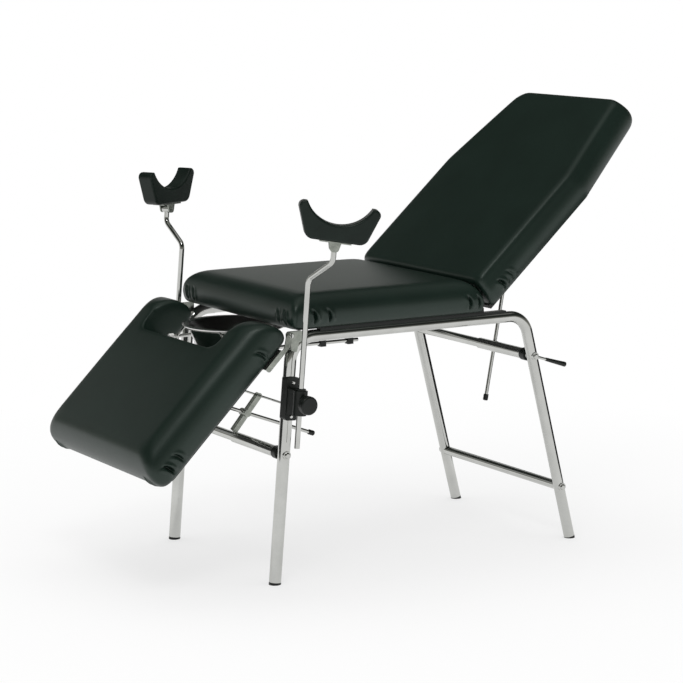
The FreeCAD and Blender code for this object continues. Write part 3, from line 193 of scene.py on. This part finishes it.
def plastic(name, dark, light, smooth, rough, specular=0.5):
    """Plastic, foam skin or paint: soft colour clouds and a fine grain."""
    material, tree, shader = new_material(name)
    cloud = object_noise(tree, scale=30.0, detail=4.0)
    fine = object_noise(tree, scale=420.0, detail=3.0)
    tint(tree, shader, cloud, (0.3, dark), (0.7, light))
    roughen(tree, shader, fine, smooth, rough)
    shader.inputs["Specular IOR Level"].default_value = specular
    grain = relief(tree, fine.outputs["Fac"], strength=0.08, distance=0.0004)
    tree.links.new(grain, shader.inputs["Normal"])
    return material


def bowl_steel():
    """Brushed stainless steel, its brushing drawn out sideways round the bowl."""
    dark, light = (0.60, 0.60, 0.59), (0.74, 0.74, 0.73)
    material, tree, shader = new_material("bowl_steel")
    brushed = object_noise(tree, scale=40.0, detail=6.0, roughness=0.6, stretch=(1.0, 1.0, 14.0))
    shader.inputs["Metallic"].default_value = 1.0
    tint(tree, shader, brushed, (0.3, dark), (0.7, light))
    roughen(tree, shader, brushed, smooth=0.10, rough=0.20)
    lines = relief(tree, brushed.outputs["Fac"], strength=0.02, distance=0.0003)
    tree.links.new(lines, shader.inputs["Normal"])
    return material


looks = {
    "chrome_tube": chrome(),
    "zinc_plate": zinc(),
    "dark_vinyl": vinyl(),
    "plywood_board": plastic(
        "painted_board", dark=(0.012, 0.013, 0.012), light=(0.02, 0.021, 0.02),
        smooth=0.55, rough=0.7,
    ),
    "moulded_crutch": plastic(
        "crutch_foam", dark=(0.004, 0.010, 0.007), light=(0.006, 0.014, 0.010),
        smooth=0.36, rough=0.48, specular=0.28,
    ),
    "black_plastic": plastic(
        "black_plastic", dark=(0.004, 0.006, 0.005), light=(0.007, 0.010, 0.008),
        smooth=0.32, rough=0.44, specular=0.35,
    ),
    "white_plastic": plastic(
        "white_plastic", dark=(0.78, 0.78, 0.76), light=(0.84, 0.84, 0.82),
        smooth=0.35, rough=0.45,
    ),
    "steel_bowl": bowl_steel(),
}
looks["bright_fittings"] = looks["chrome_tube"]
for entry in frame["record"]["subparts"]:
    item = nodes[entry["node"]]
    item.data.materials.clear()
    item.data.materials.append(looks[entry["material_slot"]])
    for polygon in item.data.polygons:
        polygon.material_index = 0


# Pad outlines: a pad is built flat in its own frame as (along, across, up) in metres
ARC_POINTS = 12
SOFTER = 0.35
LEAST_ROUNDING = 0.004
LARGEST_SHARE_OF_SIDE = 0.49


def corner_arc(before, corner, after, radius):
    back = (before - corner).normalized()
    ahead = (after - corner).normalized()
    half = back.angle(ahead) / 2
    reach = radius / math.tan(half)
    limit = LARGEST_SHARE_OF_SIDE * min((before - corner).length, (after - corner).length)
    if reach > limit:
        reach = limit
        radius = reach * math.tan(half)
    centre = corner + (back + ahead).normalized() * (radius / math.sin(half))
    start = corner + back * reach - centre
    finish = corner + ahead * reach - centre
    turn = start.angle_signed(finish)
    points = []
    for step in range(ARC_POINTS):
        angle = turn * step / (ARC_POINTS - 1)
        points.append(centre + Matrix.Rotation(-angle, 2) @ start)
    return points


def ring_points(corners, radii, insets):
    """Counter-clockwise outline, each side moved inward by its inset, with rounded corners."""
    total = len(corners)
    moved = []
    rounding = []
    for number in range(total):
        before = Vector(corners[number - 1])
        corner = Vector(corners[number])
        after = Vector(corners[(number + 1) % total])
        first = (corner - before).normalized()
        second = (after - corner).normalized()
        inward_one = Vector((-first.y, first.x))
        inward_two = Vector((-second.y, second.x))
        one, two = insets[number - 1], insets[number]
        shift = first * (two / first.dot(inward_two)) + second * (one / second.dot(inward_one))
        moved.append(corner + shift)
        rounding.append(max(radii[number] + SOFTER * (one + two) / 2, LEAST_ROUNDING))
    points = []
    for number in range(total):
        before, corner, after = moved[number - 1], moved[number], moved[(number + 1) % total]
        points.extend(corner_arc(before, corner, after, rounding[number]))
    return points


# Pad surfaces
VOXEL = 0.0043


def pad_blank(name, outline, radii, kinds, rows, thickness):
    """Closed form through rings; a row is (share of the height, one inset per kind of side)."""
    mesh = bmesh.new()
    rings = []
    for share, *insets in rows:
        height = share * thickness
        ring = ring_points(outline(share), radii, [insets[kind] for kind in kinds])
        rings.append([mesh.verts.new((point.x, point.y, height)) for point in ring])
    for low, high in zip(rings, rings[1:]):
        for number in range(len(low)):
            following = (number + 1) % len(low)
            mesh.faces.new((low[number], low[following], high[following], high[number]))
    mesh.faces.new(list(reversed(rings[0])))
    mesh.faces.new(rings[-1])
    bmesh.ops.triangulate(mesh, faces=mesh.faces[:])
    bmesh.ops.recalc_face_normals(mesh, faces=mesh.faces[:])
    data = bpy.data.meshes.new(name)
    mesh.to_mesh(data)
    mesh.free()
    blank = bpy.data.objects.new(name, data)
    bpy.context.collection.objects.link(blank)
    remesh = blank.modifiers.new("remesh", "REMESH")
    remesh.mode = "VOXEL"
    remesh.voxel_size = VOXEL
    bpy.context.view_layer.update()
    result = bpy.data.meshes.new_from_object(
        blank.evaluated_get(bpy.context.evaluated_depsgraph_get())
    )
    blank.modifiers.clear()
    blank.data = result
    return blank


def vertices(data):
    points = np.empty(len(data.vertices) * 3)
    data.vertices.foreach_get("co", points)
    return points.reshape(-1, 3)


def normals(data):
    values = np.empty(len(data.vertices) * 3, dtype=np.float32)
    data.vertex_normals.foreach_get("vector", values)
    return values.reshape(-1, 3).astype(float)


def store(data, points):
    data.vertices.foreach_set("co", points.ravel())
    data.update()


def relax(data, rounds, strength=0.5):
    """Move each vertex toward the middle of its neighbours."""
    points = vertices(data)
    edges = np.empty(len(data.edges) * 2, dtype=np.int64)
    data.edges.foreach_get("vertices", edges)
    first, second = edges[0::2], edges[1::2]
    degree = np.bincount(edges, minlength=len(points)).astype(float)[:, None]
    for _ in range(rounds):
        total = np.zeros_like(points)
        for axis in range(3):
            total[:, axis] += np.bincount(first, points[second, axis], len(points))
            total[:, axis] += np.bincount(second, points[first, axis], len(points))
        points += strength * (total / degree - points)
    store(data, points)


def soften(data, rounds):
    relax(data, rounds)


def smooth_step(values):
    values = np.clip(values, 0.0, 1.0)
    return values * values * (3 - 2 * values)


CROWN_FADE = 0.02


def raise_crown(data, centre, half, height, start):
    """Lift the middle of the top; nothing below the start height moves."""
    points = vertices(data)
    share_along = 1 - np.clip(np.abs((points[:, 0] - centre[0]) / half[0]), 0, 1) ** 3
    share_across = 1 - np.clip(np.abs((points[:, 1] - centre[1]) / half[1]), 0, 1) ** 3
    lift = smooth_step((points[:, 2] - start) / CROWN_FADE)
    points[:, 2] += height * share_along * share_across * lift
    store(data, points)


# Sewn pleats: a groove between two ridges, at a spot on a side, in the direction along that side
Pleat = namedtuple("Pleat", "spot along depth width low high")
PLEAT_LEAN, PLEAT_CURVE = 0.22, 9.0
PLEAT_INSIDE = 0.05
FADE_START, FADE_RATE = 1.25, 2.2
RIDGE_PLACE, RIDGE_WIDTH, RIDGE_HEIGHT = 2.6, 1.7, 0.30
SIDE_SHARPNESS = 1.6
FINE_REACH, FINE_CUTS = 0.022, 2
PLEAT_ROUNDS, PLEAT_RELAX = 2, 0.4


def side_pleats(half, spots, width, low, high):
    """The same pleats on both long sides; a spot is (place along the pad, depth)."""
    return [
        Pleat((place, half * sign), (-sign, 0), depth, width, low, high)
        for sign in (-1, 1) for place, depth in spots
    ]


def end_pleats(end, spots, width, low, high):
    """Mirrored pleats on the end toward the foot; a spot is (place across the pad, depth)."""
    return [
        Pleat((end, place * sign), (0, -1), depth, width, low, high)
        for sign in (-1, 1) for place, depth in spots
    ]


def gather(points, facing, pleat):
    """How far a pleat moves each vertex outward: its groove is negative, its ridges positive."""
    spot, along, width = pleat.spot, pleat.along, pleat.width
    rise = points[:, 2] - (pleat.low + pleat.high) / 2
    lean = PLEAT_LEAN * rise + PLEAT_CURVE * rise ** 2
    offset = points[:, 0] * along[0] + points[:, 1] * along[1]
    offset = offset - (spot[0] * along[0] + spot[1] * along[1]) + lean
    outward = (along[1], -along[0])
    inside = (points[:, 0] - spot[0]) * outward[0] + (points[:, 1] - spot[1]) * outward[1]
    near = np.abs(inside) < PLEAT_INSIDE
    fade = smooth_step(FADE_START - np.abs(rise) / (pleat.high - pleat.low) * FADE_RATE)
    groove = np.exp(-(offset / width) ** 2)
    ridge = np.exp(-((np.abs(offset) - RIDGE_PLACE * width) / (RIDGE_WIDTH * width)) ** 2)
    turned = facing[:, 0] * outward[0] + facing[:, 1] * outward[1]
    side_on = smooth_step(SIDE_SHARPNESS * turned)
    return near * fade * side_on * (RIDGE_HEIGHT * pleat.depth * ridge - pleat.depth * groove)


def refine(data, pleats):
    """Finer faces round the pleats, so that their folds are crisp."""
    mesh = bmesh.new()
    mesh.from_mesh(data)
    spots = []
    for pleat in pleats:
        centre = Vector((*pleat.spot, (pleat.low + pleat.high) / 2))
        spots.append((centre, pleat.high - pleat.low))
    chosen = []
    for edge in mesh.edges:
        middle = (edge.verts[0].co + edge.verts[1].co) / 2
        for spot, tall in spots:
            beside = abs(middle.x - spot.x) < FINE_REACH and abs(middle.y - spot.y) < FINE_REACH
            if beside and abs(middle.z - spot.z) < tall:
                chosen.append(edge)
                break
    bmesh.ops.subdivide_edges(mesh, edges=chosen, cuts=FINE_CUTS, use_grid_fill=True)
    bmesh.ops.triangulate(mesh, faces=[face for face in mesh.faces if len(face.verts) > 4])
    mesh.to_mesh(data)
    mesh.free()


def sew(data, pleats):
    refine(data, pleats)
    points = vertices(data)
    facing = normals(data)
    amount = np.zeros(len(points))
    for pleat in pleats:
        amount += gather(points, facing, pleat)
    store(data, points + facing * amount[:, None])
    relax(data, PLEAT_ROUNDS, PLEAT_RELAX)


def section_place(hinge, offset):
    """From a pad's own frame to its section at rest; the hinge's lower limit lays it level."""
    joint = joints[hinge]
    turn = Matrix.Rotation(math.radians(joint["range_deg"][0]), 4, "Y")
    return Matrix.Translation(joint["pos_m"]) @ turn @ Matrix.Translation((0, 0, offset))


def finish_pad(pad, matrix, body, node):
    pad.data.transform(matrix)
    pad.data.update()
    for polygon in pad.data.polygons:
        polygon.use_smooth = True
    pad.data.materials.clear()
    pad.data.materials.append(looks["dark_vinyl"])
    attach(pad, body)
    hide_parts(node)


PAD_HALF = 0.300

# Seat pad: rows are (share of the height, sides, rear, front)
SEAT_PLACE = (-0.403, 0, 0.6585)
SEAT_DEPTH = 0.088
SEAT_FRONT, SEAT_REAR, SEAT_REAR_SLANT = 0.049, 0.641, 0.024
SEAT_ROWS = (
    (0.00, 0.010, 0.004, 0.006), (0.03, 0.003, 0.000, 0.000), (0.12, -0.002, 0.000, -0.004),
    (0.26, -0.006, 0.000, -0.006), (0.42, -0.007, 0.000, -0.006), (0.56, -0.005, 0.001, -0.004),
    (0.68, -0.001, 0.003, 0.000), (0.78, 0.005, 0.008, 0.006), (0.87, 0.013, 0.015, 0.015),
    (0.94, 0.022, 0.024, 0.026), (0.98, 0.032, 0.034, 0.038), (1.00, 0.048, 0.048, 0.056),
)


def seat_outline(share):
    rear = SEAT_REAR - SEAT_REAR_SLANT * share
    return [(SEAT_FRONT, -PAD_HALF), (rear, -PAD_HALF), (rear, PAD_HALF), (SEAT_FRONT, PAD_HALF)]


seat = pad_blank(
    "seat_cushion", seat_outline, radii=(0.012, 0.014, 0.014, 0.012), kinds=(0, 1, 0, 2),
    rows=SEAT_ROWS, thickness=SEAT_DEPTH,
)
soften(seat.data, rounds=7)
raise_crown(seat.data, centre=(0.35, 0.0), half=(0.31, 0.32), height=0.003, start=0.06)
sew(
    seat.data,
    side_pleats(
        PAD_HALF, ((0.108, 0.014), (0.152, 0.011), (0.586, 0.013), (0.616, 0.010)),
        width=0.0036, low=0.012, high=0.052,
    )
    + end_pleats(
        SEAT_FRONT, ((0.266, 0.013), (0.232, 0.007)), width=0.0036, low=0.012, high=0.050
    ),
)
finish_pad(seat, Matrix.Translation(SEAT_PLACE), "frame", "seat_pad")

# Back pad: rows are (share of the height, sides, start, head)
BACK_DEPTH, BACK_OFFSET = 0.092, -0.0165
BACK_START, BACK_SLANT, BACK_KINK, BACK_LENGTH = 0.008, 0.014, 0.426, 0.720
BACK_HALF, HEAD_HALF = 0.299, 0.229
BACK_ROWS = (
    (0.00, 0.010, 0.006, 0.010), (0.04, 0.003, 0.001, 0.003), (0.14, -0.003, 0.000, -0.002),
    (0.28, -0.007, 0.000, -0.004), (0.44, -0.008, 0.000, -0.004), (0.60, -0.005, 0.000, -0.002),
    (0.74, 0.000, 0.000, 0.000), (0.84, 0.003, 0.000, 0.003), (0.92, 0.006, 0.002, 0.006),
    (0.97, 0.010, 0.005, 0.011), (1.00, 0.019, 0.011, 0.020),
)


def back_outline(share):
    start = BACK_START + BACK_SLANT * share
    return [
        (start, -BACK_HALF), (BACK_KINK, -BACK_HALF), (BACK_LENGTH, -HEAD_HALF),
        (BACK_LENGTH, HEAD_HALF), (BACK_KINK, BACK_HALF), (start, BACK_HALF),
    ]


back = pad_blank(
    "back_cushion", back_outline, radii=(0.018, 0.10, 0.042, 0.042, 0.10, 0.018),
    kinds=(0, 0, 2, 0, 0, 1), rows=BACK_ROWS, thickness=BACK_DEPTH,
)
soften(back.data, rounds=3)
raise_crown(back.data, centre=(0.38, 0.0), half=(0.35, 0.31), height=0.004, start=0.065)
sew(
    back.data,
    side_pleats(
        BACK_HALF, ((0.072, 0.013), (0.108, 0.005)), width=0.0036, low=0.014, high=0.052
    ),
)
finish_pad(back, section_place("back_hinge", BACK_OFFSET), "back_section", "back_pad")

# Leg pad with its U-shaped notch: rows are (share of the height, sides, start, notch, foot)
LEG_DEPTH, LEG_OFFSET = 0.106, -0.0025
LEG_START, LEG_END, NOTCH_END, NOTCH_HALF = -0.004, -0.508, -0.145, 0.205
LEG_ROWS = (
    (0.00, 0.012, 0.016, 0.005, 0.014), (0.04, 0.004, 0.010, 0.001, 0.006),
    (0.13, -0.001, 0.005, 0.000, 0.000), (0.28, -0.005, 0.003, 0.000, -0.004),
    (0.44, -0.006, 0.007, 0.000, -0.004), (0.58, -0.004, 0.013, 0.000, -0.001),
    (0.70, 0.000, 0.021, 0.000, 0.005), (0.80, 0.006, 0.031, 0.001, 0.012),
    (0.88, 0.014, 0.041, 0.002, 0.021), (0.94, 0.023, 0.052, 0.004, 0.031),
    (0.98, 0.033, 0.062, 0.008, 0.042), (1.00, 0.044, 0.074, 0.014, 0.056),
)


def leg_outline(share):
    """The same outline at every height."""
    return [
        (LEG_START, PAD_HALF), (LEG_END, PAD_HALF), (LEG_END, -PAD_HALF), (LEG_START, -PAD_HALF),
        (LEG_START, -NOTCH_HALF), (NOTCH_END, -NOTCH_HALF), (NOTCH_END, NOTCH_HALF),
        (LEG_START, NOTCH_HALF),
    ]


leg = pad_blank(
    "leg_cushion", leg_outline,
    radii=(0.012, 0.020, 0.020, 0.012, 0.014, 0.040, 0.040, 0.014),
    kinds=(0, 3, 0, 1, 2, 2, 2, 1), rows=LEG_ROWS, thickness=LEG_DEPTH,
)
soften(leg.data, rounds=5)
raise_crown(leg.data, centre=(-0.32, 0.0), half=(0.19, 0.31), height=0.003, start=0.08)
sew(
    leg.data,
    side_pleats(
        PAD_HALF, ((-0.462, 0.014), (-0.424, 0.009), (-0.090, 0.008)),
        width=0.0038, low=0.012, high=0.056,
    )
    + end_pleats(LEG_END, ((0.262, 0.013),), width=0.0034, low=0.010, high=0.050),
)
finish_pad(leg, section_place("leg_hinge", LEG_OFFSET), "leg_section", "leg_pad")

# Floor: it pales to white with the distance from the couch, in metres, and keeps the shadow
FLOOR_HALF = 150.0
FLOOR_DARK, FLOOR_LIGHT = (0.915, 0.915, 0.915), (0.925, 0.925, 0.925)
PALE_NEAR, PALE_FAR, PALE_SHARE_NEAR = 0.6, 2.2, 0.62


def floor_finish():
    """Matt floor that is partly white emission for rays seen, mirrored or seen through."""
    material, tree, shader = new_material("floor")
    patches = object_noise(tree, scale=0.8, detail=2.0)
    tint(tree, shader, patches, (0.3, FLOOR_DARK), (0.7, FLOOR_LIGHT))
    shader.inputs["Roughness"].default_value = 0.9
    shader.inputs["Specular IOR Level"].default_value = 0.1
    place = tree.nodes.new("ShaderNodeTexCoord")
    distance = tree.nodes.new("ShaderNodeVectorMath")
    distance.operation = "LENGTH"
    tree.links.new(place.outputs["Object"], distance.inputs[0])
    paling = tree.nodes.new("ShaderNodeMapRange")
    paling.inputs["From Min"].default_value = PALE_NEAR
    paling.inputs["From Max"].default_value = PALE_FAR
    paling.inputs["To Min"].default_value = PALE_SHARE_NEAR
    tree.links.new(distance.outputs["Value"], paling.inputs["Value"])
    ray = tree.nodes.new("ShaderNodeLightPath")
    kept = ray.outputs["Is Camera Ray"]
    for kind in ("Is Glossy Ray", "Is Transmission Ray"):
        kept = combine(tree, "MAXIMUM", kept, ray.outputs[kind])
    share = combine(tree, "MULTIPLY", kept, paling.outputs["Result"])
    white = tree.nodes.new("ShaderNodeEmission")
    mixed = mix_shaders(tree, share, shader.outputs["BSDF"], white.outputs["Emission"])
    tree.links.new(mixed, tree.nodes["Material Output"].inputs["Surface"])
    return material


floor_mesh = bpy.data.meshes.new("floor")
grid = bmesh.new()
bmesh.ops.create_grid(grid, x_segments=1, y_segments=1, size=FLOOR_HALF)
grid.to_mesh(floor_mesh)
grid.free()
floor = bpy.data.objects.new("floor", floor_mesh)
bpy.context.collection.objects.link(floor)
floor_mesh.materials.append(floor_finish())

# A dark card beside the head end, seen only in reflections, draws the dark edge on the tubes
CARD_X, CARD_NEAR, CARD_FAR, CARD_HEIGHT = 1.75, -1.1, 1.9, 0.62
card_mesh = bpy.data.meshes.new("card")
card_mesh.from_pydata(
    [
        (CARD_X, CARD_NEAR, 0.0), (CARD_X, CARD_FAR, 0.0),
        (CARD_X, CARD_FAR, CARD_HEIGHT), (CARD_X, CARD_NEAR, CARD_HEIGHT),
    ],
    [], [(0, 1, 2, 3)],
)
card = bpy.data.objects.new("card", card_mesh)
bpy.context.collection.objects.link(card)
card_mesh.materials.append(
    plastic("card", dark=(0.01, 0.01, 0.01), light=(0.02, 0.02, 0.02), smooth=0.8, rough=0.9)
)
card.visible_camera = False
card.visible_diffuse = False
card.visible_shadow = False

# World: white to the camera, an even light on matt surfaces, and bands of a studio in mirrors.
# A band is (share of the way from straight down to straight up, colour)
EVEN_LIGHT = 0.80
STUDIO_BANDS = (
    (0.0, (0.9, 0.9, 0.88)), (0.50, (0.9, 0.9, 0.88)), (0.515, (0.34, 0.34, 0.31)),
    (0.60, (0.20, 0.20, 0.185)), (0.68, (0.035, 0.04, 0.036)), (0.84, (0.02, 0.024, 0.021)),
    (0.93, (0.30, 0.30, 0.29)), (1.0, (0.55, 0.55, 0.53)),
)


def background(tree, strength):
    node = tree.nodes.new("ShaderNodeBackground")
    node.inputs["Color"].default_value = (1.0, 1.0, 1.0, 1.0)
    node.inputs["Strength"].default_value = strength
    return node


def studio_world():
    world = bpy.data.worlds.new("studio")
    world.use_nodes = True
    tree = world.node_tree
    tree.nodes.clear()
    direction = tree.nodes.new("ShaderNodeTexCoord")
    split = tree.nodes.new("ShaderNodeSeparateXYZ")
    tree.links.new(direction.outputs["Generated"], split.inputs["Vector"])
    rise = tree.nodes.new("ShaderNodeMapRange")
    rise.inputs["From Min"].default_value = -1.0
    tree.links.new(split.outputs["Z"], rise.inputs["Value"])
    mirrored = background(tree, 1.0)
    tree.links.new(ramp(tree, rise.outputs["Result"], STUDIO_BANDS), mirrored.inputs["Color"])
    even = background(tree, EVEN_LIGHT)
    white = background(tree, 1.0)
    ray = tree.nodes.new("ShaderNodeLightPath")
    lit = mix_shaders(
        tree, ray.outputs["Is Diffuse Ray"],
        mirrored.outputs["Background"], even.outputs["Background"],
    )
    seen = mix_shaders(tree, ray.outputs["Is Camera Ray"], lit, white.outputs["Background"])
    out = tree.nodes.new("ShaderNodeOutputWorld")
    tree.links.new(seen, out.inputs["Surface"])
    return world


bpy.context.scene.world = studio_world()

# Lamps: name, place, target, width and height in metres, power in watts, seen in mirrors
LAMPS = (
    ("top_softbox", (0.3, 1.2, 4.2), (0.0, 0.0, 0.7), 3.4, 2.4, 28, False),
    ("side_softbox", (3.2, -3.0, 2.2), (0.2, 0.0, 0.7), 1.4, 2.0, 14, False),
    ("key_softbox", (-1.7, -2.1, 4.1), (0.0, 0.0, 0.8), 1.2, 1.2, 32, True),
    ("seat_sheen", (1.15, 2.3, 1.15), (-0.1, 0.0, 0.74), 2.0, 1.0, 2.5, True),
    ("leg_sheen", (-1.35, 2.2, 1.35), (-0.65, 0.0, 0.4), 1.1, 1.0, 1.0, True),
)
for name, place, target, width, height, power, in_mirrors in LAMPS:
    light = bpy.data.lights.new(name, "AREA")
    light.shape = "RECTANGLE"
    light.size = width
    light.size_y = height
    light.energy = power
    lamp = bpy.data.objects.new(name, light)
    lamp.location = place
    lamp.rotation_euler = (Vector(target) - Vector(place)).to_track_quat("-Z", "Y").to_euler()
    lamp.visible_camera = False
    lamp.visible_glossy = in_mirrors
    bpy.context.collection.objects.link(lamp)

bpy.context.scene.view_settings.view_transform = "Standard"
